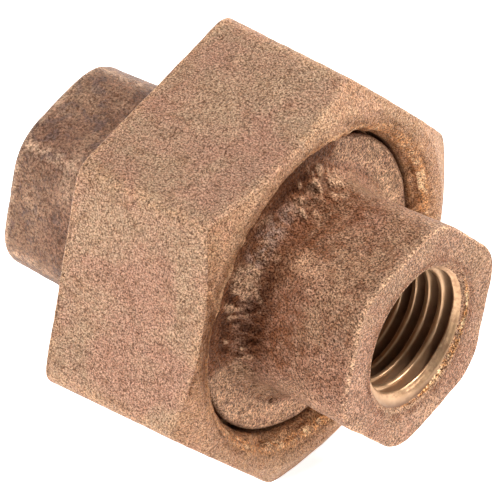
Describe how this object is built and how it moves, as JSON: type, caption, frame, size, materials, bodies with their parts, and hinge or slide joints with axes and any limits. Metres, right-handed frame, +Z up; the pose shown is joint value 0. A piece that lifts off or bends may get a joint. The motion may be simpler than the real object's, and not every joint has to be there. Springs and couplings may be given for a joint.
{
  "type": "pipe union",
  "caption": "Cast bronze pipe union with female threaded ends, a ball seat and a hexagon union nut that turns and draws the ends together.",
  "frame": {"origin": "centre of the bounding box, on the centre line, with the nut tight", "axes": "+X along the centre line, out of the tailpiece's port; +Z up, square to one of the nut's flats"},
  "size_m": [0.0388, 0.0402, 0.0348],
  "materials": {
    "thread_end": "sand-cast bronze, darker brown, with machined threads and seat",
    "tailpiece": "sand-cast bronze with machined threads and ball face",
    "union_nut": "sand-cast bronze with machined thread and bore"
  },
  "bodies": {
    "thread_end": {"thread_end": "thread_end"},
    "tailpiece": {"tailpiece": "tailpiece"},
    "nut": {"union_nut": "union_nut"}
  },
  "joints": [
    {"name": "tail_slide", "type": "slide", "parent": "thread_end", "child": "tailpiece", "axis": [1, 0, 0], "range_m": [0, 0.00715]},
    {"name": "nut_turn", "type": "hinge", "parent": "tailpiece", "child": "nut", "pos_m": [0, 0, 0], "axis": [1, 0, 0], "range_deg": [0, 1620]}
  ],
  "couplings": [
    {"joint": "tail_slide", "follows": "nut_turn", "m_per_rad": 0.00025266}
  ]
}
